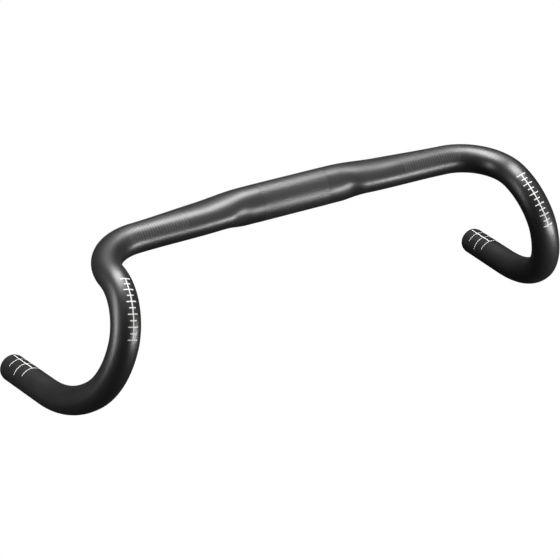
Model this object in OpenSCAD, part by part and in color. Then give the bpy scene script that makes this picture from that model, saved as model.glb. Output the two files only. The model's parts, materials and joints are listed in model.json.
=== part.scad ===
// Drop handlebar with flattened tops, flared drops and expanding end plugs.
// Origin at the middle of the stem clamp. +X to one side, -Y forward, +Z up.
// The bar is bonded from three hollow mouldings on internal sleeves.

/* [Stem clamp] */
// Outer diameter of the round clamp zone
clamp_d = 31.8; // [30:0.1:36]
// Length of the round clamp zone
clamp_len = 76; // [60:1:84]
// Wall of the moulding in the clamp zone
clamp_wall = 3.2; // [2.4:0.1:4]
// Distance from each end of the clamp zone to its ring mark
mark_inset = 7; // [5:0.5:12]

/* [Tops] */
// Straight run of each top, from the sweep to the corner
top_run = 88; // [72:1:110]
// Angle at which the tops sweep forward
sweep_angle = 5.3; // [2:0.1:9]
// Greatest front to back depth of the flattened top
top_depth = 35.2; // [32:0.1:38]
// Height of the flattened top
top_height = 26.4; // [25:0.1:29]
// Depth of the top where the corner starts
corner_depth = 27.2; // [25:0.1:30]
// Height of the top where the corner starts
corner_height = 24.4; // [24.2:0.1:27]

/* [Drops] */
// Outer diameter of the round drop
grip_d = 23.8; // [22.8:0.1:24.2]
// Wall of the drop
grip_wall = 2.4; // [2:0.1:3]
// Bend radius of the corner
corner_r = 44; // [40:1:54]
// Turn of the corner
corner_turn = 85; // [78:1:90]
// Downward tilt of the corner's plane
corner_tilt = 10; // [4:1:16]
// Bend radius of the hook under the brake lever
hook_r = 41.5; // [37:0.5:50]
// Turn of the hook under the brake lever
hook_turn = 88; // [80:1:92]
// Bend radius of the bottom of the hook
bottom_r = 76; // [64:1:92]
// Turn of the bottom of the hook
bottom_turn = 45; // [38:1:52]
// Bend radius that leads into the drop's end
lead_r = 130; // [108:1:156]
// Turn that leads into the drop's end
lead_turn = 34.5; // [28:0.5:40]
// Straight length at the drop's end
end_run = 61; // [51:1:74]
// Flare of the upper hook, outwards as it goes down
upper_flare = 15; // [8:1:20]
// Flare of the lower hook
lower_flare = 18; // [12:1:24]
// Turn-in of the upper hook's plane
upper_toe = 3; // [0:1:8]
// Turn-in of the lower hook's plane
lower_toe = 7; // [3:1:12]

/* [Bonded joints] */
// Distance along the bar from the middle to each bonded joint
joint_at = 98; // [92:1:104]
// Length of each joint sleeve
sleeve_len = 48; // [36:1:56]
// Wall of the joint sleeves
sleeve_wall = 1.5; // [1:0.1:2.2]
// Glue gap round each sleeve
glue_gap = 0.15; // [0.1:0.05:0.3]
// How much each end of the clamp zone reaches past its reinforcing sleeve
core_inset = 3; // [1:0.5:8]
// Wall of the clamp reinforcing sleeve
core_wall = 1.8; // [1.2:0.1:2.5]

/* [Printed marks] */
// Thickness of a printed mark
ink = 0.04; // [0.03:0.01:0.06]
// Distance from the start of the hook to the first lever tick
lever_scale_in = 14.9; // [10:0.1:20]
// Spacing of the lever ticks
lever_pitch = 3.9; // [3.5:0.1:4.5]
// Number of lever ticks
lever_ticks = 11; // [7:2:13]
// Spacing of the trim arcs at the drop's end
trim_pitch = 11.8; // [10:0.1:13]
// Distance from the bonded joint to the first grip stripe
stripes_in = 6; // [2:1:10]
// Spacing of the grip stripes
stripe_pitch = 2.4; // [2:0.1:2.6]
// Number of grip stripes on each top
stripe_count = 24; // [16:1:24]

/* [End plugs] */
// Gap between the plug and the bore of the drop
plug_gap = 0.2; // [0.1:0.05:0.4]
// Thickness of the plug's flange
flange_t = 2.2; // [1.6:0.1:3]
// Length of the rubber expander
expander_len = 18; // [14:1:24]
// Thread diameter of the plug's screw
screw_d = 5; // [4:0.5:6]

/* [Hidden] */

clamp_r = clamp_d/2;
grip_r = grip_d/2;
clamp_half = clamp_len/2;
clamp_bore_r = clamp_r - clamp_wall;
grip_bore_r = grip_r - grip_wall;

// The centreline of one side, as runs of [length or bend radius, turn, bend axis].
// A run with no turn is straight.
sweep_start = 45;
sweep_r = 150;
RUNS = [
    [sweep_start, 0, [0, 0, 0]],
    [sweep_r, sweep_angle, [0, 0, -1]],
    [top_run, 0, [0, 0, 0]],
    [corner_r, corner_turn, [0, sin(corner_tilt), -cos(corner_tilt)]],
    [hook_r, hook_turn, hook_axis(upper_flare, upper_toe)],
    [bottom_r, bottom_turn, hook_axis(lower_flare, lower_toe)],
    [lead_r, lead_turn, hook_axis(lower_flare, lower_toe)],
    [end_run, 0, [0, 0, 0]]
];
function hook_axis(flare, toe) = [cos(flare)*cos(toe), -cos(flare)*sin(toe), sin(flare)];

function unit(v) = v/norm(v);
// Vector v turned by angle a about the unit axis k
function turned(v, k, a) = v*cos(a) + cross(k, v)*sin(a) + k*(k*v)*(1 - cos(a));

// A state is [place, direction, up]. The up vector is carried along without twist.
function run_length(run) = run[1] == 0 ? run[0] : run[0]*run[1]*PI/180;
function moved(state, run, share) = run[1] == 0
    ? [state[0] + state[1]*run[0]*share, state[1], state[2]]
    : let (axis = unit(run[2] - state[1]*(run[2]*state[1])))
      let (centre = state[0] + cross(axis, state[1])*run[0])
      let (a = run[1]*share)
      [centre + turned(state[0] - centre, axis, a), turned(state[1], axis, a), turned(state[2], axis, a)];
function along(state, s, k) = let (long = run_length(RUNS[k]))
    s <= long || k == len(RUNS) - 1
    ? moved(state, RUNS[k], s/long)
    : along(moved(state, RUNS[k], 1), s - long, k + 1);
// State at distance s along the centreline from the middle of the bar
function at(s) = along([[0, 0, 0], [1, 0, 0], [0, 0, 1]], s, 0);
// Distance along the centreline to the start of run k
function run_start(k) = k == 0 ? 0 : run_start(k - 1) + run_length(RUNS[k - 1]);

corner_at = run_start(3);
hook_at = run_start(4);
bottom_at = run_start(5);
lead_at = run_start(6);
end_at = run_start(7);
tip_at = end_at + end_run;

// Outline of the bar's section at distance s: half depth, upper and lower half heights.
// The round clamp blends into the flattened top, and that into the round drop.
wing_at = 72;
blend_in = 1;
depth_blend = 27;
upper_blend = 47;
lower_blend_in = 7;
lower_blend = 23;
function ease(x) = let (c = min(1, max(0, x))) c*c*(3 - 2*c);
function step(s, from, to) = ease((s - from)/(to - from));
function size_at(s, wide, narrow, from, long) = clamp_r
    + (wide - clamp_r)*step(s, clamp_half + from, clamp_half + from + long)
    + (narrow - wide)*step(s, wing_at, corner_at) + (grip_r - narrow)*step(s, corner_at, hook_at);
function half_depth(s) = size_at(s, top_depth/2, corner_depth/2, blend_in, depth_blend);
function upper_half(s) = size_at(s, top_height/2, corner_height/2, blend_in, upper_blend);
function lower_half(s) = size_at(s, top_height/2, corner_height/2, lower_blend_in, lower_blend);

// Point on the section at distance s, at angle a from the up vector towards the front
function section_point(s, a, depth, upper, lower) = let (state = at(s))
    state[0] + state[2]*(cos(a) > 0 ? upper : lower)*cos(a) + cross(state[1], state[2])*depth*sin(a);
function skin_point(s, a, lift) =
    section_point(s, a, half_depth(s) + lift, upper_half(s) + lift, lower_half(s) + lift);

// The bore is round at the joint and follows the outside elsewhere
sides = 24;
side_angle = 360/sides;
facet = cos(side_angle/2);
sleeve_r = grip_bore_r - glue_gap;
seat_gap = 0.02;
bore_blend_in = 1;
bore_blend = 11;
function bore_size(s, outer) = let (clear = grip_bore_r/facet + seat_gap)
    let (past = sleeve_len/2 + bore_blend_in)
    let (near = 1 - step(abs(s - joint_at), past, past + bore_blend))
    let (wall = clamp_wall + (grip_wall - clamp_wall)*step(s, clamp_half, wing_at))
    max(clear, ((outer - wall)/facet + seat_gap)*(1 - near) + clear*near);
function bore_point(s, a) = section_point(s, a, bore_size(s, half_depth(s)),
    bore_size(s, upper_half(s)), bore_size(s, lower_half(s)));

// A hollow tube whose rings stand at the distances in list
module hollow_tube(list) {
    n = len(list);
    outer = [for (s = list) for (k = [0:sides - 1]) skin_point(s, k*side_angle, -seat_gap)];
    inner = [for (s = list) for (k = [0:sides - 1]) bore_point(s, k*side_angle)];
    function o(i, k) = i*sides + k % sides;
    function b(i, k) = n*sides + o(i, k);
    polyhedron(
        points = concat(outer, inner),
        faces = concat(
            [for (i = [0:n - 2]) for (k = [0:sides - 1]) [o(i, k), o(i + 1, k), o(i + 1, k + 1)]],
            [for (i = [0:n - 2]) for (k = [0:sides - 1]) [o(i, k), o(i + 1, k + 1), o(i, k + 1)]],
            [for (i = [0:n - 2]) for (k = [0:sides - 1]) [b(i, k), b(i + 1, k + 1), b(i + 1, k)]],
            [for (i = [0:n - 2]) for (k = [0:sides - 1]) [b(i, k), b(i, k + 1), b(i + 1, k + 1)]],
            [for (k = [0:sides - 1]) [o(0, k), o(0, k + 1), b(0, k + 1)]],
            [for (k = [0:sides - 1]) [o(0, k), b(0, k + 1), b(0, k)]],
            [for (k = [0:sides - 1]) [o(n - 1, k), b(n - 1, k + 1), o(n - 1, k + 1)]],
            [for (k = [0:sides - 1]) [o(n - 1, k), b(n - 1, k), b(n - 1, k + 1)]]
        ),
        convexity = 10
    );
}

// A thin patch on the bar's skin, from distance s0 to s1 and from angle a0 to a1
film_lift = 0.08;
module patch(s0, s1, a0, a1, cols, thick) {
    points = [for (up = [0, 1]) for (s = [s0, s1]) for (k = [0:cols])
        skin_point(s, a0 + (a1 - a0)*k/cols, film_lift + up*thick)];
    row = cols + 1;
    function p(up, edge, k) = (up*2 + edge)*row + k;
    polyhedron(
        points = points,
        faces = concat(
            [for (k = [0:cols - 1]) [p(1, 0, k), p(1, 1, k), p(1, 1, k + 1)]],
            [for (k = [0:cols - 1]) [p(1, 0, k), p(1, 1, k + 1), p(1, 0, k + 1)]],
            [for (k = [0:cols - 1]) [p(0, 0, k), p(0, 1, k + 1), p(0, 1, k)]],
            [for (k = [0:cols - 1]) [p(0, 0, k), p(0, 0, k + 1), p(0, 1, k + 1)]],
            [for (k = [0:cols - 1]) [p(0, 0, k), p(1, 0, k + 1), p(0, 0, k + 1)]],
            [for (k = [0:cols - 1]) [p(0, 0, k), p(1, 0, k), p(1, 0, k + 1)]],
            [for (k = [0:cols - 1]) [p(0, 1, k), p(0, 1, k + 1), p(1, 1, k + 1)]],
            [for (k = [0:cols - 1]) [p(0, 1, k), p(1, 1, k + 1), p(1, 1, k)]],
            [[p(0, 0, 0), p(1, 1, 0), p(1, 0, 0)], [p(0, 0, 0), p(0, 1, 0), p(1, 1, 0)]],
            [[p(0, 0, cols), p(1, 0, cols), p(1, 1, cols)], [p(0, 0, cols), p(1, 1, cols), p(0, 1, cols)]]
        ),
        convexity = 4
    );
}

// Places its children at distance s, with their Z along the bar and their X up
module at_station(s) {
    state = at(s);
    x = state[2];
    z = state[1];
    y = cross(z, x);
    p = state[0];
    multmatrix([[x[0], y[0], z[0], p[0]], [x[1], y[1], z[1], p[1]], [x[2], y[2], z[2], p[2]]]) children();
}
module along_x() {
    rotate([0, 90, 0]) children();
}
module pipe(r, bore, from, to) {
    rotate_extrude($fn = 96) translate([bore, from]) square([r - bore, to - from]);
}
module left_side() {
    mirror([1, 0, 0]) children();
}

// ---- The three mouldings and what bonds them ----
// The faceted stretches run this far into the wall of the true tubes
lap = 0.5;
// Distances of the rings of a run that is cut into equal steps, without its last
function cut(from, to, steps) = [for (k = [0:steps - 1]) from + (to - from)*k/steps];
ring_step = 4;
blend_steps = 8;
blend_end = clamp_half + ring_step*blend_steps;
TOP_RINGS = concat([clamp_half - lap], cut(clamp_half + ring_step, blend_end, blend_steps - 1),
    cut(blend_end, joint_at, 3), [joint_at]);
DROP_RINGS = concat(cut(joint_at, corner_at, 6), cut(corner_at, hook_at, 15), cut(hook_at, bottom_at, 12),
    cut(bottom_at, lead_at, 6), cut(lead_at, end_at, 5), [end_at + 2*lap]);

module top_bar() {
    color([0.13, 0.13, 0.14]) {
        along_x() pipe(clamp_r, clamp_bore_r, -clamp_half, clamp_half);
        hollow_tube(TOP_RINGS);
        left_side() hollow_tube(TOP_RINGS);
    }
}
module drop() {
    tip_chamfer = 0.3;
    color([0.12, 0.12, 0.13]) {
        hollow_tube(DROP_RINGS);
        at_station(end_at) rotate_extrude($fn = 96) polygon([[grip_bore_r, lap], [grip_r, lap],
            [grip_r, end_run - tip_chamfer], [grip_r - tip_chamfer, end_run], [grip_bore_r, end_run]]);
    }
}
module right_drop() {
    drop();
}
module left_drop() {
    left_side() drop();
}
module joint_sleeve() {
    color([0.32, 0.33, 0.35]) at_station(joint_at)
        pipe(sleeve_r, sleeve_r - sleeve_wall, -sleeve_len/2, sleeve_len/2);
}
module right_joint_sleeve() {
    joint_sleeve();
}
module left_joint_sleeve() {
    left_side() joint_sleeve();
}
module clamp_core_sleeve() {
    core_r = clamp_bore_r - glue_gap;
    core_half = clamp_half - core_inset;
    color([0.7, 0.71, 0.73]) along_x() pipe(core_r, core_r - core_wall, -core_half, core_half);
}

// ---- Printed marks ----
film_r = clamp_r + seat_gap;
ring_w = 0.5;
film_gap = 0.1;
ring_at = clamp_half - mark_inset;
module clamp_grip_film() {
    half = ring_at - ring_w/2 - film_gap;
    color([0.2, 0.2, 0.21]) along_x() pipe(film_r + ink, film_r, -half, half);
}
// The ring mark and its angle ticks, which point away from the middle
module clamp_ring() {
    ticks = 6;
    tick_len = 3;
    tick_angle = 10;
    first_tick = 43;
    tick_start = ring_at + ring_w/2 + film_gap;
    color([0.05, 0.05, 0.05]) along_x() {
        pipe(film_r + ink, film_r, ring_at - ring_w/2, ring_at + ring_w/2);
        for (k = [0:ticks - 1]) rotate([0, 0, first_tick + k*360/ticks - tick_angle/2])
            rotate_extrude(angle = tick_angle, $fn = 96) translate([film_r, tick_start]) square([ink, tick_len]);
    }
}
module right_clamp_ring() {
    clamp_ring();
}
module left_clamp_ring() {
    left_side() clamp_ring();
}

// Fine raised lines over the upper side, from behind the crown round to the front
module top_stripes() {
    stripe_w = 0.9;
    stripe_t = 0.06;
    stripe_sides = 5;
    color([0.3, 0.3, 0.31]) for (k = [0:stripe_count - 1]) {
        s = joint_at + stripes_in + k*stripe_pitch;
        patch(s, s + stripe_w, 0, stripe_sides*side_angle, stripe_sides, stripe_t);
    }
}
module right_top_stripes() {
    top_stripes();
}
module left_top_stripes() {
    left_side() top_stripes();
}

// A line down the hook crossed by ticks, long and short in turn, for setting the levers
scale_angle = 26.5;
line_w = 0.7;
module lever_scale() {
    long_half = 21;
    short_half = 14;
    line_half = 1.6;
    color([0.93, 0.93, 0.93]) for (k = [0:lever_ticks - 1]) {
        s = hook_at + lever_scale_in + k*lever_pitch;
        half = k % 2 == 0 ? long_half : short_half;
        patch(s - line_w/2, s + line_w/2, scale_angle - half, scale_angle + half, 4, ink);
        if (k < lever_ticks - 1)
            patch(s + line_w/2 + film_gap, s + lever_pitch - line_w/2 - film_gap,
                scale_angle - line_half, scale_angle + line_half, 1, ink);
    }
}
module right_lever_scale() {
    lever_scale();
}
module left_lever_scale() {
    left_side() lever_scale();
}

// A line along the top of the drop's end with three arcs, for cutting the bar to length
trim_angle = 214;
module trim_scale() {
    line_half = 1.4;
    half_angles = [52, 72, 56];
    tip_clear = 1;
    film_in = grip_r + seat_gap;
    color([0.85, 0.85, 0.85]) at_station(tip_at) for (k = [0:len(half_angles) - 1]) {
        arc_z = -(k + 1)*trim_pitch;
        line_len = trim_pitch - line_w - 2*film_gap - (k == 0 ? tip_clear : 0);
        rotate([0, 0, trim_angle - half_angles[k]]) rotate_extrude(angle = 2*half_angles[k], $fn = 96)
            translate([film_in, arc_z - line_w/2]) square([ink, line_w]);
        rotate([0, 0, trim_angle - line_half]) rotate_extrude(angle = 2*line_half, $fn = 96)
            translate([film_in, arc_z + line_w/2 + film_gap]) square([ink, line_len]);
    }
}
module right_trim_scale() {
    trim_scale();
}
module left_trim_scale() {
    left_side() trim_scale();
}

// ---- Expanding end plug ----
// Heights are measured from the drop's cut end, positive outwards.
plug_r = grip_bore_r - plug_gap;
screw_r = screw_d/2;
screw_clear = 0.2;
thread_clear = 0.05;
spigot_len = 4;
washer_t = 0.8;
head_h = 2.6;
head_r = screw_d*0.86;
head_gap = 0.05;
head_sunk = 0.6;
// Seat of the washer inside the cap
seat_z = flange_t - head_sunk - head_h - washer_t;
expander_gap = 0.2;
expander_top = -spigot_len - expander_gap;
expander_end = expander_top - expander_len;
cone_len = 9;
cone_band = 1;
cone_small_r = screw_r + 2.1;
cone_big_r = plug_r - 0.7;
cone_clear = 0.1;
// The cone's taper reaches up inside the expander by this much
cone_in = 6;
cone_top = expander_end + cone_in;
thread_past_cone = 3;
screw_end = cone_top - cone_len - thread_past_cone;

module plug_cap() {
    rim = 0.9;
    rim_mid = rim*(1 - cos(45));
    flange_r = grip_r - 0.3;
    pocket_r = head_r + 0.35;
    color([0.06, 0.06, 0.06]) at_station(tip_at) rotate_extrude($fn = 96) polygon([
        [screw_r + screw_clear, -spigot_len], [plug_r, -spigot_len], [plug_r, 0],
        [flange_r, 0], [flange_r, flange_t - rim],
        [flange_r - rim_mid, flange_t - rim_mid], [flange_r - rim, flange_t],
        [pocket_r, flange_t], [pocket_r, seat_z], [screw_r + screw_clear, seat_z]]);
}
module plug_washer() {
    color([0.75, 0.76, 0.78]) at_station(tip_at)
        pipe(head_r + 0.1, screw_r + screw_clear, seat_z, seat_z + washer_t);
}
module plug_screw() {
    head_base = seat_z + washer_t + head_gap;
    hex_af = 0.8*screw_d;
    hex_depth = 1.8;
    chamfer = 0.4;
    color([0.25, 0.25, 0.27]) at_station(tip_at) difference() {
        rotate_extrude($fn = 96) polygon([[0, screw_end], [screw_r - chamfer, screw_end],
            [screw_r, screw_end + chamfer], [screw_r, head_base], [head_r, head_base],
            [head_r, head_base + head_h - chamfer], [head_r - chamfer, head_base + head_h],
            [0, head_base + head_h]]);
        translate([0, 0, head_base + head_h - hex_depth])
            cylinder(r = hex_af/2/cos(30), h = hex_depth + 1, $fn = 6);
    }
}
// The rubber sleeve is flared inside at its inner end, where the cone spreads it
module plug_expander() {
    slot_w = 1.6;
    slot_len = expander_len*0.6;
    slots = 4;
    bore_r = screw_r + 0.6;
    taper_per_mm = (cone_big_r - cone_small_r)/cone_len;
    flare_len = cone_in + cone_clear;
    mouth_r = cone_small_r + taper_per_mm*cone_in + cone_clear;
    color([0.1, 0.1, 0.1]) at_station(tip_at) difference() {
        rotate_extrude($fn = 96) polygon([[bore_r, expander_top], [plug_r, expander_top],
            [plug_r, expander_end], [mouth_r, expander_end],
            [cone_small_r + cone_clear, expander_end + flare_len], [bore_r, expander_end + flare_len]]);
        for (k = [0:slots - 1]) rotate([0, 0, k*360/slots])
            translate([0, -slot_w/2, expander_end - 1]) cube([grip_r, slot_w, slot_len + 1]);
    }
}
module plug_cone() {
    bore_r = screw_r + thread_clear;
    color([0.78, 0.62, 0.3]) at_station(tip_at) rotate_extrude($fn = 96) polygon([
        [bore_r, cone_top], [cone_small_r, cone_top], [cone_big_r, cone_top - cone_len],
        [cone_big_r, cone_top - cone_len - cone_band], [bore_r, cone_top - cone_len - cone_band]]);
}
module right_plug_cap() {
    plug_cap();
}
module left_plug_cap() {
    left_side() plug_cap();
}
module right_plug_expander() {
    plug_expander();
}
module left_plug_expander() {
    left_side() plug_expander();
}
module right_plug_washer() {
    plug_washer();
}
module left_plug_washer() {
    left_side() plug_washer();
}
module right_plug_screw() {
    plug_screw();
}
module left_plug_screw() {
    left_side() plug_screw();
}
module right_plug_cone() {
    plug_cone();
}
module left_plug_cone() {
    left_side() plug_cone();
}

top_bar();
left_drop();
right_drop();
left_joint_sleeve();
right_joint_sleeve();
clamp_core_sleeve();
clamp_grip_film();
left_clamp_ring();
right_clamp_ring();
left_top_stripes();
right_top_stripes();
left_lever_scale();
right_lever_scale();
left_trim_scale();
right_trim_scale();
left_plug_cap();
right_plug_cap();
left_plug_expander();
right_plug_expander();
left_plug_washer();
right_plug_washer();
left_plug_screw();
right_plug_screw();
left_plug_cone();
right_plug_cone();
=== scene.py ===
# %% [markdown]
# # Drop handlebar
# The object is a bicycle's drop handlebar, moulded in three hollow pieces and painted satin black. Its finish
# is nearly all there is to see, so the scene needs one very smooth skin, printed marks that lie on it, and
# lights that draw long soft highlights along it. The CAD model is loaded first: it gives the bodies that
# move, the mounts and the bar's size.

# %% Load the frame
import json
import math

import bpy
import numpy as np
from mathutils import Matrix, Quaternion, Vector


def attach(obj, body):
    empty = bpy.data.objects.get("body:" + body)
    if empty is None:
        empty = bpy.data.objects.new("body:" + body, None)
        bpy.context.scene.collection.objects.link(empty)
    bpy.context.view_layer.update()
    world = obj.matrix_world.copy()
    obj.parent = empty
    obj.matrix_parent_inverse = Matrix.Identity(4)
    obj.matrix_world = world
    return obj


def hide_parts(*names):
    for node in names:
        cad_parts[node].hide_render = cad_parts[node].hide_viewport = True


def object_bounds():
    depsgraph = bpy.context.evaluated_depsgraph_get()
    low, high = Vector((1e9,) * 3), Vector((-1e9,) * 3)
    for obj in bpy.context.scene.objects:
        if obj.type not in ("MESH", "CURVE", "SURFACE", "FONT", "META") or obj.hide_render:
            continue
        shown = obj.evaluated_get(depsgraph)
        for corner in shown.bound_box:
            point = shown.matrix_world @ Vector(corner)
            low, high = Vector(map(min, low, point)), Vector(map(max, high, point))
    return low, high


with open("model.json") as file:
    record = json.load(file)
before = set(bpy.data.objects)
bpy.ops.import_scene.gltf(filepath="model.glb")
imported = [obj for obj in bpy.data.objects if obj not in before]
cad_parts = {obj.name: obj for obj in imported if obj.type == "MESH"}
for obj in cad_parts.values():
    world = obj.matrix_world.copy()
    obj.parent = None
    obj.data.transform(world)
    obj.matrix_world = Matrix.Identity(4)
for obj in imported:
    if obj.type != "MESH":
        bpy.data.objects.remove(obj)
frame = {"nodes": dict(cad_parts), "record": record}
cad_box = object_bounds()
MM = 0.001
mounts = {m["name"]: m for m in frame["record"]["mounts"]}
print("CAD box", [round(v, 4) for v in (*cad_box[0], *cad_box[1])])

# %% [markdown]
# ## Camera
# A long lens stands a little left of the bar's front and looks down on it. The camera's own axes are worked
# out from two angles and a slight roll, so its matrix can be written straight down, with no aim constraint.

# %% Camera
CAMERA_AZIMUTH = math.radians(-27.3)
CAMERA_ELEVATION = math.radians(24.0)
CAMERA_ROLL = math.radians(-3.4)
CAMERA_DISTANCE = 1.661
CAMERA_SIDE = -0.0119
CAMERA_RISE = -0.0705
CAMERA_LENS = 128.1


def direction(azimuth, elevation):
    """Unit vector from the bar towards a place at these angles. Azimuth 0 is the bar's front."""
    flat = math.cos(elevation)
    return Vector((math.sin(azimuth) * flat, -math.cos(azimuth) * flat, math.sin(elevation)))


def add_camera():
    """The camera, with its axes written straight into its matrix."""
    back = direction(CAMERA_AZIMUTH, CAMERA_ELEVATION)
    right = Vector((math.cos(CAMERA_AZIMUTH), math.sin(CAMERA_AZIMUTH), 0))
    up = back.cross(right)
    place = back * CAMERA_DISTANCE + right * CAMERA_SIDE + up * CAMERA_RISE
    x = right * math.cos(CAMERA_ROLL) + up * math.sin(CAMERA_ROLL)
    y = up * math.cos(CAMERA_ROLL) - right * math.sin(CAMERA_ROLL)
    camera = bpy.data.objects.new("camera", bpy.data.cameras.new("camera"))
    camera.data.lens = CAMERA_LENS
    camera.matrix_world = Matrix((x, y, back)).transposed().to_4x4()
    camera.location = place
    bpy.context.scene.collection.objects.link(camera)
    bpy.context.scene.camera = camera
    return camera


camera = add_camera()
print("camera at", [round(v, 3) for v in camera.location])

# %% [markdown]
# ## Studio
# A black tube shows only what it reflects. A wide box overhead draws the bright band along the tops, a low
# card in front draws the thin second band, and a card at the left gives the hooks their edge. Two large dim
# boxes, behind and in front, keep the rest from going quite black. The floor is pale and lies well below,
# so that it shows no hard shadow.

# %% Studio
FLOOR_DROP = 0.40
FLOOR_SIZE = 400
OVERHEAD_SHIFT = 0.1
WORLD_STRENGTH = 0.01


def emission_material(name, seen, cast):
    """White that the camera sees at one strength, while everything else is lit by it at another."""
    material = bpy.data.materials.new(name)
    material.use_nodes = True
    nodes, links = material.node_tree.nodes, material.node_tree.links
    nodes.clear()
    out = nodes.new("ShaderNodeOutputMaterial")
    mix = nodes.new("ShaderNodeMixShader")
    path = nodes.new("ShaderNodeLightPath")
    for socket, strength in ((1, cast), (2, seen)):
        glow = nodes.new("ShaderNodeEmission")
        glow.inputs["Color"].default_value = (1, 1, 1, 1)
        glow.inputs["Strength"].default_value = strength
        links.new(glow.outputs[0], mix.inputs[socket])
    links.new(path.outputs["Is Camera Ray"], mix.inputs[0])
    links.new(mix.outputs[0], out.inputs["Surface"])
    return material


def add_floor():
    """A pale floor that looks white and casts little light."""
    bpy.ops.mesh.primitive_plane_add(size=FLOOR_SIZE, location=(0, 0, cad_box[0].z - FLOOR_DROP))
    floor = bpy.context.object
    floor.name = "floor"
    floor.data.materials.append(emission_material("pale_floor", seen=1.0, cast=0.02))
    return floor


def add_softbox(name, azimuth, elevation, distance, width, height, power):
    """An area light at these angles round the bar, aimed at it, that the camera doesn't see."""
    light = bpy.data.lights.new(name, "AREA")
    light.shape = "RECTANGLE"
    light.size = width
    light.size_y = height
    light.energy = power
    towards = direction(math.radians(azimuth), math.radians(elevation))
    lamp = bpy.data.objects.new(name, light)
    lamp.location = towards * distance
    lamp.rotation_mode = "QUATERNION"
    lamp.rotation_quaternion = towards.to_track_quat("Z", "Y")
    lamp.visible_camera = False
    bpy.context.scene.collection.objects.link(lamp)
    return lamp


def set_world(strength):
    """A white world that the camera sees in full, while it lights the bar at this strength."""
    world = bpy.data.worlds.new("studio")
    bpy.context.scene.world = world
    world.use_nodes = True
    nodes, links = world.node_tree.nodes, world.node_tree.links
    background = nodes["Background"]
    background.inputs["Color"].default_value = (1, 1, 1, 1)
    path = nodes.new("ShaderNodeLightPath")
    seen = nodes.new("ShaderNodeMath")
    seen.operation = "MULTIPLY_ADD"
    seen.inputs[1].default_value = 1.0 - strength
    seen.inputs[2].default_value = strength
    links.new(path.outputs["Is Camera Ray"], seen.inputs[0])
    links.new(seen.outputs[0], background.inputs["Strength"])


bpy.context.scene.view_settings.view_transform = "Standard"
add_floor()
overhead = add_softbox("overhead_box", 180, 84, 1.3, 1.1, 0.6, 57)
overhead.location.x += OVERHEAD_SHIFT
add_softbox("rear_box", 170, 62, 1.6, 2.4, 1.2, 4)
add_softbox("front_fill", 40, 30, 1.5, 1.6, 1.2, 5)
add_softbox("low_front_card", 36, -18, 1.0, 0.7, 0.14, 14)
add_softbox("left_card", -88, 8, 0.6, 0.1, 0.4, 2.5)
set_world(WORLD_STRENGTH)

# %% [markdown]
# ## The bar's centreline
# A real bar is drawn as straight runs and arcs, and so is this one: each run is a length or a bend radius, a
# turn, and the axis that it bends about. Walking the runs gives the place, the direction and an up vector at
# any distance from the middle. The walk's end is checked against the lever seat that the CAD model states.

# %% Centreline
SWEEP_START = 45
SWEEP_RADIUS = 150
SWEEP_ANGLE = 5.3
TOP_RUN = 88
CORNER_RADIUS = 44
CORNER_TURN = 85
CORNER_TILT = 10
HOOK_RADIUS = 41.5
HOOK_TURN = 88
BOTTOM_RADIUS = 76
BOTTOM_TURN = 45
LEAD_RADIUS = 130
LEAD_TURN = 34.5
END_RUN = 61
JOINT_AT = 98
CLAMP_HALF = 38


def hook_axis(flare, toe):
    """Axis of a hook's bend, tipped up by the flare and turned forward by the toe, in degrees."""
    f, t = math.radians(flare), math.radians(toe)
    return Vector((math.cos(f) * math.cos(t), -math.cos(f) * math.sin(t), math.sin(f)))


tilt = math.radians(CORNER_TILT)
BAR_RUNS = [
    (SWEEP_START, 0, None),
    (SWEEP_RADIUS, SWEEP_ANGLE, Vector((0, 0, -1))),
    (TOP_RUN, 0, None),
    (CORNER_RADIUS, CORNER_TURN, Vector((0, math.sin(tilt), -math.cos(tilt)))),
    (HOOK_RADIUS, HOOK_TURN, hook_axis(15, 3)),
    (BOTTOM_RADIUS, BOTTOM_TURN, hook_axis(18, 7)),
    (LEAD_RADIUS, LEAD_TURN, hook_axis(18, 7)),
    (END_RUN, 0, None),
]


def run_length(run):
    """Length of a straight run, or of the arc of a bend."""
    return run[0] if not run[1] else run[0] * math.radians(run[1])


def bend_of(state, run):
    """Unit axis and centre of a bend, in millimetres."""
    place, along, up = state
    axis = (run[2] - along * run[2].dot(along)).normalized()
    return axis, place + axis.cross(along) * run[0]


def moved(state, run, share):
    """State after that share of a run."""
    place, along, up = state
    if not run[1]:
        return place + along * run[0] * share, along.copy(), up.copy()
    axis, centre = bend_of(state, run)
    turn = Quaternion(axis, math.radians(run[1]) * share)
    return centre + turn @ (place - centre), turn @ along, turn @ up


def state_at(s):
    """(place, direction, up) at distance s along the bar from its middle, in millimetres."""
    state = (Vector((0, 0, 0)), Vector((1, 0, 0)), Vector((0, 0, 1)))
    for run in BAR_RUNS:
        long = run_length(run)
        if s <= long or run is BAR_RUNS[-1]:
            return moved(state, run, s / long)
        state = moved(state, run, 1)
        s -= long


RUN_STARTS = [sum(run_length(r) for r in BAR_RUNS[:k]) for k in range(len(BAR_RUNS) + 1)]
CORNER_AT, HOOK_AT, BOTTOM_AT, LEAD_AT, END_AT, TIP_AT = RUN_STARTS[3:9]
seat = Vector(mounts["right_lever_seat"]["pos_m"])
miss = (state_at(TIP_AT - END_RUN / 2)[0] * MM - seat).length
print(f"centreline of one side {TIP_AT:.1f} mm, {miss * 1000:.3f} mm from the stated lever seat")

# %% [markdown]
# ## The bar's section
# The clamp zone and the drops are round, and the tops are a flattened wing. Half sizes to the front, upwards
# and downwards are eased from one to the next along the bar. The under side leaves the clamp zone more
# sharply than the upper side does, which makes the crease that the thumb finds.

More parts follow.
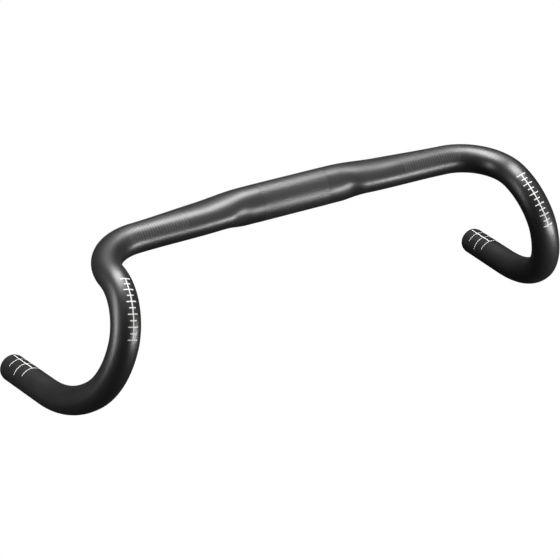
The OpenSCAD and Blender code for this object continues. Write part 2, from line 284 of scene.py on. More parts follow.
# %% Section
CLAMP_R = 15.9
GRIP_R = 11.9
WING_AT = 72
WING_HALF_DEPTH = 17.6
WING_HALF_HEIGHT = 13.2
CORNER_HALF_DEPTH = 13.6
CORNER_HALF_HEIGHT = 12.2
BLEND_IN = 1
DEPTH_BLEND = 27
UPPER_BLEND = 47
LOWER_BLEND_IN = 7
LOWER_BLEND = 23
CREASE_AT = 53
CREASE_HALF_LENGTH = 13
CREASE_ANGLE = 105
CREASE_HALF_ANGLE = 60
CREASE_DEPTH = 1.3


def step(s, start, end):
    """Eases from 0 at the start to 1 at the end."""
    x = np.clip((s - start) / (end - start), 0, 1)
    return x * x * (3 - 2 * x)


def half_size(s, wing, corner, start, long):
    """A half size that goes from the clamp's to the wing's, then the corner's, and ends at the grip's."""
    start = CLAMP_HALF + start
    grown = CLAMP_R + (wing - CLAMP_R) * step(s, start, start + long)
    grown = grown + (corner - wing) * step(s, WING_AT, CORNER_AT)
    return grown + (GRIP_R - corner) * step(s, CORNER_AT, HOOK_AT)


def section(s):
    """Half depth to the front and back, half height above and half height below."""
    depth = half_size(s, WING_HALF_DEPTH, CORNER_HALF_DEPTH, BLEND_IN, DEPTH_BLEND)
    upper = half_size(s, WING_HALF_HEIGHT, CORNER_HALF_HEIGHT, BLEND_IN, UPPER_BLEND)
    lower = half_size(s, WING_HALF_HEIGHT, CORNER_HALF_HEIGHT, LOWER_BLEND_IN, LOWER_BLEND)
    return depth, upper, lower


def skin_point(s, angle, lift=0.0):
    """Point on the bar in metres, at distance s and an angle in radians from the top towards the front."""
    place, along, up = state_at(s)
    front = along.cross(up)
    depth, upper, lower = (float(v) + lift for v in section(np.float64(s)))
    height = upper if math.cos(angle) > 0 else lower
    return (place + up * height * math.cos(angle) + front * depth * math.sin(angle)) * MM


def crease(s, angle):
    """How far the lower front is pressed in just outside the clamp zone, at an angle in radians."""
    near = np.clip(1 - np.abs(s - CREASE_AT) / CREASE_HALF_LENGTH, 0, 1)
    round_it = np.clip(1 - np.abs(np.degrees(angle) - CREASE_ANGLE) / CREASE_HALF_ANGLE, 0, 1)
    return CREASE_DEPTH * step(near, 0, 1) * step(round_it, 0, 1)


print("section at the wing", [round(float(v), 2) for v in section(np.float64(WING_AT))])

# %% [markdown]
# ## Sweeping the tube
# A ring is added as a circle, then extruded along each straight run and spun round each bend, just as a tube
# bender works. A curve with a bevel would be quicker, but it can't hold the flattened section and lets the
# ring spacing drift. The tube starts out round, and its vertices are then moved out or in to the section.

# %% Helpers for edit mode
RING_SIDES = 96


def select(*pieces):
    """Selects these pieces alone, with the first one active."""
    bpy.ops.object.select_all(action="DESELECT")
    for piece in pieces:
        piece.select_set(True)
    bpy.context.view_layer.objects.active = pieces[0]


def edit(obj):
    """Opens obj alone in edit mode with nothing selected, for work on its vertices."""
    select(obj)
    bpy.ops.object.mode_set(mode="EDIT")
    bpy.ops.mesh.select_all(action="DESELECT")


def object_mode():
    """Goes back to object mode."""
    bpy.ops.object.mode_set(mode="OBJECT")


def fix_place(obj):
    """Puts an object's place into its mesh, so that the object itself sits at the origin."""
    select(obj)
    bpy.ops.object.transform_apply(location=True, rotation=True, scale=True)


def apply_modifier(obj, kind, **settings):
    """Adds a modifier with these settings and applies it."""
    select(obj)
    modifier = obj.modifiers.new(kind.lower(), kind)
    for key, value in settings.items():
        setattr(modifier, key, value)
    bpy.ops.object.modifier_apply(modifier=modifier.name)


def frame_matrix(s):
    """Matrix whose Z runs along the bar and whose X is the carried up vector, in metres."""
    place, along, up = state_at(s)
    return Matrix.Translation(place * MM) @ Matrix((up, along.cross(up), along)).transposed().to_4x4()


def sweep_tube(name, start, end, spacing):
    """A round tube of the grip's radius along the centreline from start to end, with open ends."""
    bpy.ops.object.select_all(action="DESELECT")
    bpy.ops.mesh.primitive_circle_add(vertices=RING_SIDES, radius=GRIP_R * MM)
    tube = bpy.context.object
    tube.name = name
    tube.matrix_world = frame_matrix(start)
    fix_place(tube)
    edit(tube)
    bpy.ops.mesh.select_all(action="SELECT")
    for run, run_from, run_to in zip(BAR_RUNS, RUN_STARTS, RUN_STARTS[1:]):
        low, high = max(start, run_from), min(end, run_to)
        if high - low < 1e-6:
            continue
        state = state_at(low)
        steps = max(1, round((high - low) / spacing))
        if run[1]:
            part = (run[0], run[1] * (high - low) / (run_to - run_from), run[2])
            axis, centre = bend_of(state, part)
            bpy.ops.mesh.spin(steps=steps, angle=-math.radians(part[1]), center=centre * MM, axis=axis)
        else:
            stride = state[1] * (high - low) * MM / steps
            for _ in range(steps):
                bpy.ops.mesh.extrude_region_move(TRANSFORM_OT_translate={"value": stride})
    object_mode()
    print(name, "swept with", len(tube.data.vertices) // RING_SIDES, "rings")
    return tube


# %% Give the tube its section
STATION_GAP = 0.25
BATCH = 4000
STATIONS = np.arange(0, TIP_AT + STATION_GAP, STATION_GAP)
STATION_STATES = [state_at(s) for s in STATIONS]
STATION_PLACES = np.array([tuple(state[0]) for state in STATION_STATES])
STATION_ALONG = np.array([tuple(state[1]) for state in STATION_STATES])
STATION_UP = np.array([tuple(state[2]) for state in STATION_STATES])


def near_stations(obj):
    """The mesh's vertices in millimetres, on the positive side of the bar, and each one's nearest station."""
    points = np.zeros(len(obj.data.vertices) * 3)
    obj.data.vertices.foreach_get("co", points)
    points = points.reshape(-1, 3) / MM
    points[:, 0] = np.abs(points[:, 0])
    nearest = np.zeros(len(points), dtype=int)
    for k in range(0, len(points), BATCH):
        part = points[k:k + BATCH]
        spread = (STATION_PLACES ** 2).sum(1)[None] - 2 * part @ STATION_PLACES.T
        nearest[k:k + BATCH] = spread.argmin(1)
    return points, nearest


def shape_section(tube):
    """Moves each vertex of a round tube out or in to the bar's section at its own distance."""
    points, nearest = near_stations(tube)
    offset = points - STATION_PLACES[nearest]
    along, up = STATION_ALONG[nearest], STATION_UP[nearest]
    past = (offset * along).sum(1)
    offset = offset - along * past[:, None]
    front = np.cross(along, up)
    angle = np.arctan2((offset * front).sum(1), (offset * up).sum(1))
    s = STATIONS[nearest] + past
    depth, upper, lower = section(s)
    pressed = crease(s, angle)
    rise = (np.where(np.cos(angle) > 0, upper, lower) - pressed) * np.cos(angle)
    reach = (depth - pressed) * np.sin(angle)
    shaped = STATION_PLACES[nearest] + along * past[:, None] + up * rise[:, None] + front * reach[:, None]
    tube.data.vertices.foreach_set("co", (shaped * MM).ravel())
    tube.data.update()


# %% [markdown]
# ## Grain, streaks and clouds
# Three things break up the sheen of this paint: a very fine grain in the topcoat, faint lengthwise streaks
# where the tube was sanded, and soft clouds where it was handled. They are one node group, so that the paint,
# the prints and the plugs use them at their own strength. The streaks read an attribute that holds each
# point's distance along the bar and its place across it, so they follow the bends.

# %% Node helpers
def new_group(name, inputs, outputs):
    """An empty node group, with its inner input and output sockets."""
    group = bpy.data.node_groups.new(name, "ShaderNodeTree")
    for title, kind in inputs:
        group.interface.new_socket(title, in_out="INPUT", socket_type=kind)
    for title, kind in outputs:
        group.interface.new_socket(title, in_out="OUTPUT", socket_type=kind)
    return group, group.nodes.new("NodeGroupInput").outputs, group.nodes.new("NodeGroupOutput").inputs


def add_node(tree, kind, values=None, links=None, **settings):
    """Adds a node with its attributes, its sockets' values and the outputs that feed its sockets."""
    node = tree.nodes.new(kind)
    for key, value in settings.items():
        setattr(node, key, value)
    for socket, value in (values or {}).items():
        node.inputs[socket].default_value = value
    for socket, source in (links or {}).items():
        tree.links.new(source, node.inputs[socket])
    return node


def noise(tree, vector, scale, detail=3):
    """A noise value at each point."""
    node = add_node(tree, "ShaderNodeTexNoise", {"Scale": scale, "Detail": detail}, {"Vector": vector})
    return node.outputs["Fac"]


def spread(tree, value, low, high, from_low=0.3, from_high=0.7):
    """Maps a noise value to a range."""
    ends = {"From Min": from_low, "From Max": from_high, "To Min": low, "To Max": high}
    return add_node(tree, "ShaderNodeMapRange", ends, {"Value": value}).outputs["Result"]


def mixed(tree, first, second, share=0.5):
    """Blends two values."""
    node = add_node(tree, "ShaderNodeMix", {"Factor": share}, {"A": first, "B": second}, data_type="FLOAT")
    return node.outputs["Result"]


# %% Grain group
def paint_grain_group():
    """Clouds and streaks as a mask, and the grain as a height."""
    group, given, result = new_group(
        "paint_grain",
        [("Vector", "NodeSocketVector"), ("Along", "NodeSocketVector"), ("Grain Scale", "NodeSocketFloat")],
        [("Uneven", "NodeSocketFloat"), ("Height", "NodeSocketFloat")],
    )
    clouds = noise(group, given["Vector"], 42, 4)
    streaks = noise(group, given["Along"], 1, 4)
    grain = add_node(group, "ShaderNodeTexNoise", {"Detail": 3}, {"Vector": given["Vector"]})
    group.links.new(given["Grain Scale"], grain.inputs["Scale"])
    group.links.new(mixed(group, clouds, streaks), result["Uneven"])
    group.links.new(grain.outputs["Fac"], result["Height"])
    return group


PAINT_GRAIN = paint_grain_group()


def tinted(tree, colour, shade):
    """A colour multiplied by a shade that varies over the surface."""
    node = add_node(
        tree, "ShaderNodeMix", {"Factor": 1.0, "A": (*colour, 1)}, {"B": shade},
        data_type="RGBA", blend_type="MULTIPLY",
    )
    return node.outputs["Result"]


def relief(tree, shader, height, strength, depth):
    """Bumps the surface by a height, to a depth in millimetres."""
    values = {"Strength": strength, "Distance": depth * MM}
    bump = add_node(tree, "ShaderNodeBump", values, {"Height": height})
    tree.links.new(bump.outputs["Normal"], shader.inputs["Normal"])


def paint(name, colour, roughness, tone=0.25, grain_scale=2400, bump=0.3, depth=0.03):
    """A painted or moulded surface: its roughness is a (low, high) pair, and tone says how uneven it is."""
    material = bpy.data.materials.new(name)
    material.use_nodes = True
    tree = material.node_tree
    shader = tree.nodes["Principled BSDF"]
    place = add_node(tree, "ShaderNodeTexCoord").outputs["Object"]
    along = add_node(tree, "ShaderNodeAttribute", attribute_name="along_bar").outputs["Vector"]
    grain = add_node(tree, "ShaderNodeGroup", node_tree=PAINT_GRAIN)
    grain.inputs["Grain Scale"].default_value = grain_scale
    tree.links.new(place, grain.inputs["Vector"])
    tree.links.new(along, grain.inputs["Along"])
    uneven = grain.outputs["Uneven"]
    tree.links.new(spread(tree, uneven, *roughness), shader.inputs["Roughness"])
    shade = spread(tree, uneven, 1 - tone, 1 + tone)
    tree.links.new(tinted(tree, colour, shade), shader.inputs["Base Color"])
    relief(tree, shader, grain.outputs["Height"], bump, depth)
    return material


# %% [markdown]
# ## Finishes
# Each finish is the same recipe with its own colour, sheen and grain. The paint is a warm grey-black satin.
# The clamp coat has coarse grit mixed in, and the white print is a little uneven, as screen ink is.

# %% Paints and prints
SATIN_BLACK = paint("satin_black", (0.009, 0.0087, 0.0087), (0.36, 0.44), tone=0.12, bump=0.3)
BARE_LAMINATE = paint("bare_laminate", (0.020, 0.020, 0.021), (0.25, 0.6), tone=0.5, bump=0.5)
GRIP_COAT = paint(
    "grip_coat", (0.014, 0.0135, 0.0135), (0.34, 0.42), tone=0.2, grain_scale=900, bump=1.0, depth=0.3
)
STRIPE_PRINT = paint("stripe_print", (0.034, 0.034, 0.034), (0.38, 0.46), tone=0.2, bump=0.5)
BLACK_PRINT = paint("black_print", (0.002, 0.002, 0.002), (0.6, 0.7), tone=0.2, bump=0.2)
WHITE_PRINT = paint("white_print", (0.46, 0.46, 0.45), (0.5, 0.65), tone=0.16, bump=0.4)
PLUG_PLASTIC = paint("plug_plastic", (0.012, 0.012, 0.012), (0.4, 0.55), tone=0.2, grain_scale=1600, bump=0.6)
PLUG_RUBBER = paint("plug_rubber", (0.018, 0.018, 0.018), (0.65, 0.85), tone=0.25, grain_scale=1100, bump=0.7)


# %% [markdown]
# ## Turned metal
# The screw, washer, cone and clamp sleeve come from a lathe, whose tool leaves fine rings round the axis.
# Rings round a tilted axis are a wave along that axis, so the axis is one input of the group.

# %% Metals
def tool_mark_group():
    """Rings round an axis, and stains."""
    group, given, result = new_group(
        "tool_marks",
        [("Vector", "NodeSocketVector"), ("Axis", "NodeSocketVector")],
        [("Rings", "NodeSocketFloat"), ("Stain", "NodeSocketFloat")],
    )
    depth = add_node(group, "ShaderNodeVectorMath", operation="DOT_PRODUCT")
    group.links.new(given["Vector"], depth.inputs[0])
    group.links.new(given["Axis"], depth.inputs[1])
    rings = add_node(group, "ShaderNodeTexNoise", {"Scale": 9000, "Detail": 3}, noise_dimensions="1D")
    group.links.new(depth.outputs["Value"], rings.inputs["W"])
    group.links.new(rings.outputs["Fac"], result["Rings"])
    group.links.new(noise(group, given["Vector"], 260, 5), result["Stain"])
    return group


TOOL_MARKS = tool_mark_group()


def metal(name, colour, roughness, axis, tone=0.15):
    """A metal turned round an axis, with its roughness as a (low, high) pair."""
    material = bpy.data.materials.new(name)
    material.use_nodes = True
    tree = material.node_tree
    shader = tree.nodes["Principled BSDF"]
    shader.inputs["Metallic"].default_value = 1.0
    marks = add_node(tree, "ShaderNodeGroup", node_tree=TOOL_MARKS)
    tree.links.new(add_node(tree, "ShaderNodeTexCoord").outputs["Object"], marks.inputs["Vector"])
    marks.inputs["Axis"].default_value = axis
    shade = spread(tree, marks.outputs["Stain"], 1 - tone, 1 + tone)
    tree.links.new(tinted(tree, colour, shade), shader.inputs["Base Color"])
    tree.links.new(spread(tree, marks.outputs["Stain"], *roughness), shader.inputs["Roughness"])
    relief(tree, shader, marks.outputs["Rings"], 0.4, 0.02)
    return material


PLUG_AXIS = state_at(TIP_AT)[1]
LEFT_PLUG_AXIS = Vector((-PLUG_AXIS.x, PLUG_AXIS.y, PLUG_AXIS.z))
SLEEVE_ALLOY = metal("sleeve_alloy", (0.62, 0.63, 0.65), (0.3, 0.42), (1, 0, 0))
SIDE_METALS = {
    side: {
        "plug_washer": metal(f"zinc_steel_{side}", (0.55, 0.56, 0.58), (0.25, 0.4), axis),
        "plug_screw": metal(f"black_steel_{side}", (0.07, 0.07, 0.075), (0.28, 0.42), axis),
        "plug_cone": metal(f"cone_brass_{side}", (0.68, 0.50, 0.22), (0.24, 0.4), axis),
    }
    for side, axis in (("right", PLUG_AXIS), ("left", LEFT_PLUG_AXIS))
}
print("materials:", ", ".join(sorted(m.name for m in bpy.data.materials)))

# %% [markdown]
# ## The three mouldings
# The middle moulding is swept for one half and mirrored, and the drop is swept once and copied. Solidify
# turns each skin into a hollow wall, so that the open end shows a true bore when the plug is drawn out. The
# inner wall takes the second material, the bare laminate. The bar is taken to be bonded from three mouldings,
# with its joints filled and painted over, so the mouldings meet edge to edge.

# %% Mouldings
WALL = 2.4
TOP_RING_SPACING = 1.0
DROP_RING_SPACING = 1.6
RIM_BEVEL = 0.3


def open_tube_outwards(obj):
    """Turns an open tube's faces outwards: its ends are filled, the faces turned, and the fills removed."""
    edit(obj)
    bpy.ops.mesh.select_non_manifold(extend=False)
    bpy.ops.mesh.edge_face_add()
    bpy.ops.mesh.select_all(action="SELECT")
    bpy.ops.mesh.normals_make_consistent(inside=False)
    bpy.ops.mesh.select_all(action="DESELECT")
    object_mode()
    for face in obj.data.polygons:
        face.select = len(face.vertices) > 4
    bpy.ops.object.mode_set(mode="EDIT")
    bpy.ops.mesh.select_mode(type="FACE")
    bpy.ops.mesh.delete(type="ONLY_FACE")
    bpy.ops.mesh.select_mode(type="VERT")
    object_mode()


def smooth(obj, angle=35):
    """Shades smooth, but keeps edges sharper than the angle."""
    select(obj)
    bpy.ops.object.shade_smooth_by_angle(angle=math.radians(angle))


def mirrored(obj, name):
    """The same piece for the other side of the bar, with its own mesh."""
    twin = obj.copy()
    twin.data = obj.data.copy()
    twin.name = name
    bpy.context.scene.collection.objects.link(twin)
    twin.data.transform(Matrix.Scale(-1, 4, (1, 0, 0)))
    twin.data.flip_normals()
    return twin


ALONG_STRETCH = 0.02
ACROSS_STRETCH = 0.9


def store_along(obj):
    """Stores each vertex's place along and across the bar, stretched so that noise on it makes streaks."""
    points, nearest = near_stations(obj)
    offset = points - STATION_PLACES[nearest]
    up = STATION_UP[nearest]
    front = np.cross(STATION_ALONG[nearest], up)
    rise, reach = (offset * up).sum(1), (offset * front).sum(1)
    values = np.stack(
        [STATIONS[nearest] * ALONG_STRETCH, rise * ACROSS_STRETCH, reach * ACROSS_STRETCH], axis=1
    )
    layer = obj.data.attributes.new("along_bar", "FLOAT_VECTOR", "POINT")
    layer.data.foreach_set("vector", values.ravel())


def hollow(skin, outside):
    """Gives a skin its wall, with one material outside and the bare laminate inside."""
    skin.data.materials.append(outside)
    skin.data.materials.append(BARE_LAMINATE)
    apply_modifier(skin, "SOLIDIFY", thickness=WALL * MM, offset=-1, material_offset=1)


def top_moulding():
    """The middle moulding, swept for one half and mirrored."""
    half = sweep_tube("top_bar_skin", 0, JOINT_AT, TOP_RING_SPACING)
    shape_section(half)
    apply_modifier(half, "MIRROR", use_axis=(True, False, False), merge_threshold=0.001 * MM)
    open_tube_outwards(half)
    hollow(half, SATIN_BLACK)
    smooth(half)
    return half


def bevel_rim(drop):
    """Rounds the two circles of the cut end."""
    tip, along, _ = state_at(TIP_AT)
    flat = [abs((v.co / MM - tip).dot(along)) < 0.05 for v in drop.data.vertices]
    reach = [(v.co / MM - tip).length for v in drop.data.vertices]
    edit(drop)
    object_mode()
    for edge in drop.data.edges:
        a, b = edge.vertices
        edge.select = flat[a] and flat[b] and abs(reach[a] - reach[b]) < 0.2
    bpy.ops.object.mode_set(mode="EDIT")
    bpy.ops.mesh.select_mode(type="EDGE")
    bpy.ops.mesh.bevel(offset=RIM_BEVEL * MM, segments=2, affect="EDGES")
    bpy.ops.mesh.select_mode(type="VERT")
    object_mode()


def drop_moulding():
    """The right-hand corner, hook and drop as one moulding."""
    drop = sweep_tube("right_drop_skin", JOINT_AT, TIP_AT, DROP_RING_SPACING)
    shape_section(drop)
    open_tube_outwards(drop)
    hollow(drop, SATIN_BLACK)
    bevel_rim(drop)
    smooth(drop)
    return drop


top_bar_skin = top_moulding()
right_drop_skin = drop_moulding()
left_drop_skin = mirrored(right_drop_skin, "left_drop_skin")
for piece, node in (
    (top_bar_skin, "top_bar"),
    (right_drop_skin, "right_drop"),
    (left_drop_skin, "left_drop"),
):
    store_along(piece)
    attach(piece, "bar")
    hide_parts(node)
    print(piece.name, len(piece.data.polygons), "faces")

# %% [markdown]
# ## Printed marks
# The marks are ink, a few hundredths of a millimetre thick. A real screen print wraps round the tube, so each
# mark here is a grid whose vertices are laid on the bar's skin by distance and angle, then given the ink's
# thickness. A shader mask could fake them, but ink with an edge of its own still reads up close.

# %% Wrapping a grid onto the skin
PRINT_LIFT = 0.03
INK = 0.04


def wrap_patch(start, end, angles, rows, columns):
    """A grid laid on the skin from start to end, between two angles in degrees from the top to the front."""
    bpy.ops.object.select_all(action="DESELECT")
    bpy.ops.mesh.primitive_grid_add(x_subdivisions=rows, y_subdivisions=columns, size=1)
    patch = bpy.context.object
    for vertex in patch.data.vertices:
        s = start + (end - start) * (vertex.co.x + 0.5)
        angle = math.radians(angles[1] + (angles[0] - angles[1]) * (vertex.co.y + 0.5))
        vertex.co = laid(s, angle)
    return patch


def laid(s, angle):
    """Point on the bar's skin, mirrored where s is on the other side, a print's lift above it."""
    point = skin_point(abs(s), angle, PRINT_LIFT)
    return point if s >= 0 else Vector((-point.x, point.y, point.z))


def round_angle(angle, half):
    """The two angles that lie half to each side of an angle."""
    return angle - half, angle + half


def finish_print(patches, name, material, thickness):
    """Joins patches into one print and gives it its thickness."""
    select(*patches)
    if len(patches) > 1:
        bpy.ops.object.join()
    piece = patches[0]
    piece.name = name
    edit(piece)
    bpy.ops.mesh.select_all(action="SELECT")
    bpy.ops.mesh.remove_doubles(threshold=0.002 * MM)
    object_mode()
    apply_modifier(piece, "SOLIDIFY", thickness=thickness * MM, offset=1)
    smooth(piece)
    piece.data.materials.append(material)
    store_along(piece)
    return piece


def both_sides(piece, label):
    """Makes the left twin of a right-hand piece, and says what both ride on and replace."""
    for side, owned in (("right", piece), ("left", mirrored(piece, f"left_{label}_skin"))):
        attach(owned, "bar")
        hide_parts(f"{side}_{label}")
    print(label, len(piece.data.polygons), "faces a side")


# %% Lever scale
LEVER_SCALE_IN = 14.9
LEVER_PITCH = 3.9
LEVER_TICKS = 11
LEVER_ANGLE = 26.5
TICK_HALF = 0.35
LONG_TICK, SHORT_TICK, LINE_HALF = 21, 14, 2.3


def lever_scale():
    """Ticks across a line down the hook, long and short in turn."""
    patches = []
    for k in range(LEVER_TICKS):
        s = HOOK_AT + LEVER_SCALE_IN + k * LEVER_PITCH
        tick = round_angle(LEVER_ANGLE, SHORT_TICK if k % 2 else LONG_TICK)
        patches.append(wrap_patch(s - TICK_HALF, s + TICK_HALF, tick, 1, 14))
        if k < LEVER_TICKS - 1:
            line = round_angle(LEVER_ANGLE, LINE_HALF)
            patches.append(wrap_patch(s + TICK_HALF, s + LEVER_PITCH - TICK_HALF, line, 4, 1))
    return finish_print(patches, "right_lever_scale_skin", WHITE_PRINT, INK)


both_sides(lever_scale(), "lever_scale")

# %% Trim scale
TRIM_PITCH = 11.8
TRIM_ANGLE = 214
TRIM_REACH = (52, 72, 56)
TRIM_LINE_HALF = 2.1
TIP_CLEAR = 1


def trim_scale():
    """Arcs round the drop at one pitch from its cut end, crossed by a line along it."""
    patches = []
    for k, reach in enumerate(TRIM_REACH):
        s = TIP_AT - (k + 1) * TRIM_PITCH
        patches.append(wrap_patch(s - TICK_HALF, s + TICK_HALF, round_angle(TRIM_ANGLE, reach), 1, 36))
        end = s + TRIM_PITCH - TICK_HALF - (0 if k else TIP_CLEAR)
        patches.append(wrap_patch(s + TICK_HALF, end, round_angle(TRIM_ANGLE, TRIM_LINE_HALF), 6, 1))
    return finish_print(patches, "right_trim_scale_skin", WHITE_PRINT, INK)


both_sides(trim_scale(), "trim_scale")

# %% Grip stripes
STRIPE_COUNT = 24
STRIPE_PITCH = 2.4
STRIPE_WIDTH = 0.9
STRIPES_AT = JOINT_AT + 6
STRIPE_ANGLES = (0, 78)
STRIPE_THICKNESS = 0.06


def top_stripes():
    """Stripes across the front half of the upper face."""
    starts = [STRIPES_AT + k * STRIPE_PITCH for k in range(STRIPE_COUNT)]
    patches = [wrap_patch(s, s + STRIPE_WIDTH, STRIPE_ANGLES, 1, 20) for s in starts]
    return finish_print(patches, "right_top_stripes_skin", STRIPE_PRINT, STRIPE_THICKNESS)


both_sides(top_stripes(), "top_stripes")

# %% Clamp rings with their angle ticks
RING_AT = CLAMP_HALF - 7
RING_HALF = 0.25
RING_GAP = 0.1
ANGLE_TICKS = 6
ANGLE_TICK_AT = -17
ANGLE_TICK_HALF = 5
ANGLE_TICK_LENGTH = 3


def clamp_ring():
    """A ring round the bar at the coat's edge, with ticks just outside it."""
    patches = [wrap_patch(RING_AT - RING_HALF, RING_AT + RING_HALF, (-180, 180), 1, 96)]
    start = RING_AT + RING_HALF + RING_GAP
    for k in range(ANGLE_TICKS):
        angles = round_angle(ANGLE_TICK_AT + k * 360 / ANGLE_TICKS, ANGLE_TICK_HALF)
        patches.append(wrap_patch(start, start + ANGLE_TICK_LENGTH, angles, 2, 4))
    return finish_print(patches, "right_clamp_ring_skin", BLACK_PRINT, INK)


both_sides(clamp_ring(), "clamp_ring")

# %% Gritty coat of the clamp zone
coat_end = RING_AT - RING_HALF - RING_GAP
grip_coat_skin = finish_print(
    [wrap_patch(-coat_end, coat_end, (-180, 180), 60, 96)], "clamp_grip_film_skin", GRIP_COAT, INK
)
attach(grip_coat_skin, "bar")
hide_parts("clamp_grip_film")
print("grip coat", len(grip_coat_skin.data.polygons), "faces")

# %% [markdown]
# ## Turned plug pieces
# The end plug is turned and moulded work: a cap with a rounded flange, a ribbed rubber expander, and a socket
# screw with a real thread. Each is modelled upright as a lathe would cut it. A circle is extruded and scaled
# from one height to the next until the outline closes on itself, and the finished piece is then carried to
# the bar's end. A revolved curve would do the same, but the extruded rings stay easy to change one by one.
# The left pieces are mirror copies. That suits all but the screw: mirroring turns its thread left-handed, and
# a real one would be right-handed on both sides.

# %% A lathe in edit mode
LATHE_SIDES = 72
PLUG_CLEARANCE = 0.2
PLUG_R = GRIP_R - WALL - PLUG_CLEARANCE
EDGE_ROUND = 0.12


def turned(name, outline, through=True):
    """Turns an outline of (radius, height) points in millimetres round Z: a ring, or solid if not through."""
    bpy.ops.object.select_all(action="DESELECT")
    radius, height = outline[0]
    bpy.ops.mesh.primitive_circle_add(vertices=LATHE_SIDES, radius=radius * MM, location=(0, 0, height * MM))
    piece = bpy.context.object
    piece.name = name
    fix_place(piece)
    edit(piece)
    bpy.ops.mesh.select_all(action="SELECT")
    for next_radius, next_height in (*outline[1:], *outline[:1 if through else 0]):
        rise = (0, 0, (next_height - height) * MM)
        bpy.ops.mesh.extrude_region_move(TRANSFORM_OT_translate={"value": rise})
        scale = next_radius / radius
        bpy.ops.transform.resize(value=(scale, scale, 1), center_override=(0, 0, 0))
        radius, height = next_radius, next_height
    bpy.ops.mesh.select_all(action="SELECT")
    bpy.ops.mesh.remove_doubles(threshold=0.002 * MM)
    bpy.ops.mesh.fill_holes(sides=LATHE_SIDES)
    bpy.ops.mesh.normals_make_consistent(inside=False)
    object_mode()
    return piece


def cut(piece, cutter):
    """Takes the cutter out of the piece."""
    apply_modifier(piece, "BOOLEAN", operation="DIFFERENCE", solver="EXACT", object=cutter)
    bpy.data.objects.remove(cutter)


def carry_to_tip(piece, material):
    """Softens the piece's edges and carries it from the lathe to the bar's cut end."""
    apply_modifier(
        piece, "BEVEL", width=EDGE_ROUND * MM, segments=2, limit_method="ANGLE", angle_limit=math.radians(40)
    )
    piece.data.materials.append(material)
    piece.data.transform(frame_matrix(TIP_AT))
    smooth(piece)
    return piece


def plug_sides(piece, label):
    """Makes the left twin of a plug piece. The screw turns on its own, and the rest moves with the plug."""
    for side, owned in (("right", piece), ("left", mirrored(piece, f"left_plug_{label}_skin"))):
        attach(owned, f"{side}_screw" if label == "screw" else f"{side}_plug")
        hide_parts(f"{side}_plug_{label}")
        if label == "screw":
            owned.data.materials[0] = SIDE_METALS[side]["plug_screw"]
    print("plug", label, len(piece.data.polygons), "faces a side")


# %% Plug cap
SPIGOT = 4
FLANGE = 2.2
FLANGE_INSET = 0.3
FLANGE_R = GRIP_R - FLANGE_INSET
FLANGE_ROUND = 0.9
POCKET_R = 4.65
SHANK_HOLE_R = 2.7
SPIGOT_CHAMFER = 0.4
WASHER_SEAT = -1.8
FACE_GROOVE_R = 8.2
FACE_GROOVE = 0.35


def plug_cap():
    """A spigot that fits the bore, a rounded flange with a groove, and a pocket for the washer and head."""
    arc = [math.radians(a) for a in (0, 22.5, 45, 67.5, 90)]
    rounded = [
        (FLANGE_R - FLANGE_ROUND * (1 - math.cos(a)), FLANGE - FLANGE_ROUND * (1 - math.sin(a))) for a in arc
    ]
    groove = [
        (FACE_GROOVE_R + FACE_GROOVE, FLANGE), (FACE_GROOVE_R, FLANGE - FACE_GROOVE),
        (FACE_GROOVE_R - FACE_GROOVE, FLANGE),
    ]
    cap = turned("right_plug_cap_skin", [
        (SHANK_HOLE_R, -SPIGOT), (PLUG_R - SPIGOT_CHAMFER, -SPIGOT), (PLUG_R, -SPIGOT + SPIGOT_CHAMFER),
        (PLUG_R, 0), (FLANGE_R, 0),
        *rounded, *groove, (POCKET_R, FLANGE), (POCKET_R, WASHER_SEAT), (SHANK_HOLE_R, WASHER_SEAT),
    ])
    return carry_to_tip(cap, PLUG_PLASTIC)


plug_sides(plug_cap(), "cap")

# %% Rubber expander
EXPANDER_TOP = -4.2
EXPANDER_LENGTH = 18
EXPANDER_BORE = 3.1
MOUTH_R = 7.06
MOUTH_LENGTH = 6.1
MOUTH_FLOOR_R = 4.7
RIBS = 6
FIRST_RIB = 1.2
RIB_PITCH = 2.6
RIB_DEPTH = 0.5
RIB_SLOPE = 0.4
RIB_GROOVE = 1.4
SLOT_WIDTH = 1.6
SLOT_LENGTH = 10.8
CUT_PAST = 1


def expander():
    """A ribbed sleeve with a tapered mouth for the cone, split crosswise so that it can spread."""
    end = EXPANDER_TOP - EXPANDER_LENGTH
    ribs = []
    for k in range(RIBS):
        high = EXPANDER_TOP - FIRST_RIB - k * RIB_PITCH
        low = high - RIB_GROOVE
        ribs += [
            (PLUG_R, high), (PLUG_R - RIB_DEPTH, high - RIB_SLOPE),
            (PLUG_R - RIB_DEPTH, low + RIB_SLOPE), (PLUG_R, low),
        ]
    sleeve = turned("right_plug_expander_skin", [
        (EXPANDER_BORE, EXPANDER_TOP), (PLUG_R, EXPANDER_TOP), *ribs, (PLUG_R, end), (MOUTH_R, end),
        (MOUTH_FLOOR_R, end + MOUTH_LENGTH), (EXPANDER_BORE, end + MOUTH_LENGTH),
    ])
    for turn in (0, 90):
        middle = end + (SLOT_LENGTH - CUT_PAST) / 2
        bpy.ops.mesh.primitive_cube_add(size=1, location=(0, 0, middle * MM))
        slot_block = bpy.context.object
        slot_block.scale = (3 * PLUG_R * MM, SLOT_WIDTH * MM, (SLOT_LENGTH + CUT_PAST) * MM)
        slot_block.rotation_euler.z = math.radians(turn)
        bpy.context.view_layer.update()
        cut(sleeve, slot_block)
    return carry_to_tip(sleeve, PLUG_RUBBER)


plug_sides(expander(), "expander")

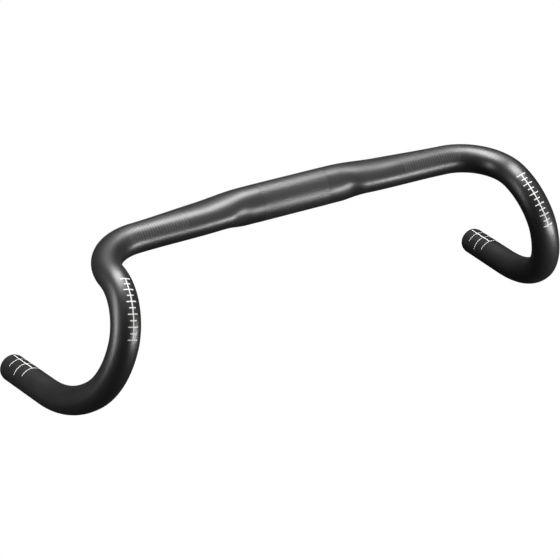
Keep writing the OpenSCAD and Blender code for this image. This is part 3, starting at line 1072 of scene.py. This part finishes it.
# %% Socket screw
THREAD_R = 2.5
THREAD_DEPTH = 0.45
THREAD_PITCH = 0.8
SCREW_END = -28.2
HEAD_BASE = -0.95
HEAD_HEIGHT = 2.6
HEAD_R = 4.3
HEAD_CHAMFER = 0.35
HEAD_EDGE = 0.08
SHANK_CHAMFER = 0.4
SOCKET_R = 2.31
SOCKET_DEPTH = 1.8
PLAIN_SHANK = 3
THREAD_FROM_END = 0.6
TOOTH_SINK = 0.05


def thread():
    """A triangular tooth swept round the core as a helix by the Screw modifier."""
    bpy.ops.object.select_all(action="DESELECT")
    bpy.ops.mesh.primitive_circle_add(vertices=3, radius=THREAD_DEPTH * MM)
    helix = bpy.context.object
    core = THREAD_R - THREAD_DEPTH - TOOTH_SINK
    start = SCREW_END + THREAD_FROM_END
    tooth = ((core, TOOTH_SINK), (THREAD_R, THREAD_PITCH / 2), (core, THREAD_PITCH - TOOTH_SINK))
    for vertex, (radius, height) in zip(helix.data.vertices, tooth):
        vertex.co = (radius * MM, 0, (start + height) * MM)
    turns = int((HEAD_BASE - PLAIN_SHANK - start) / THREAD_PITCH) - 1
    apply_modifier(
        helix, "SCREW", screw_offset=THREAD_PITCH * MM, iterations=turns, steps=24, render_steps=24,
        use_merge_vertices=True, merge_threshold=0.002 * MM,
    )
    edit(helix)
    bpy.ops.mesh.select_all(action="SELECT")
    bpy.ops.mesh.fill_holes(sides=4)
    bpy.ops.mesh.select_all(action="SELECT")
    bpy.ops.mesh.normals_make_consistent(inside=False)
    object_mode()
    return helix


def socket_screw():
    """A cap screw with a six-sided socket, a plain stretch under the head and a thread below it."""
    core = THREAD_R - THREAD_DEPTH
    top = HEAD_BASE + HEAD_HEIGHT
    plain = HEAD_BASE - PLAIN_SHANK
    shank = turned("right_plug_screw_skin", [
        (core - SHANK_CHAMFER, SCREW_END), (core, SCREW_END + SHANK_CHAMFER), (core, plain),
        (THREAD_R, plain + SHANK_CHAMFER), (THREAD_R, HEAD_BASE), (HEAD_R, HEAD_BASE),
        (HEAD_R, top - HEAD_CHAMFER), (HEAD_R - HEAD_CHAMFER, top),
    ], through=False)
    bpy.ops.mesh.primitive_cylinder_add(
        vertices=6, radius=SOCKET_R * MM, depth=(SOCKET_DEPTH + CUT_PAST) * MM,
        location=(0, 0, (top + (CUT_PAST - SOCKET_DEPTH) / 2) * MM),
    )
    cut(shank, bpy.context.object)
    apply_modifier(
        shank, "BEVEL", width=HEAD_EDGE * MM, segments=1, limit_method="ANGLE", angle_limit=math.radians(50)
    )
    helix = thread()
    select(shank, helix)
    bpy.ops.object.join()
    shank.data.materials.append(SIDE_METALS["right"]["plug_screw"])
    shank.data.transform(frame_matrix(TIP_AT))
    smooth(shank)
    return shank


plug_sides(socket_screw(), "screw")

# %% [markdown]
# ## Pieces kept from the CAD model
# The washers, cones and hidden sleeves already have their true shape, so they only take a finish. Their
# meshes are left alone, and each takes its material in the slot that it has.

# %% Finishes on the carried-over pieces
def give_finish(node, material):
    """Gives a CAD piece its material in every slot that it has."""
    obj = frame["nodes"][node]
    for k in range(len(obj.material_slots)):
        obj.material_slots[k].material = material
    print(node, "takes", material.name)


for side in ("right", "left"):
    give_finish(f"{side}_plug_washer", SIDE_METALS[side]["plug_washer"])
    give_finish(f"{side}_plug_cone", SIDE_METALS[side]["plug_cone"])
    give_finish(f"{side}_joint_sleeve", BARE_LAMINATE)
give_finish("clamp_core_sleeve", SLEEVE_ALLOY)
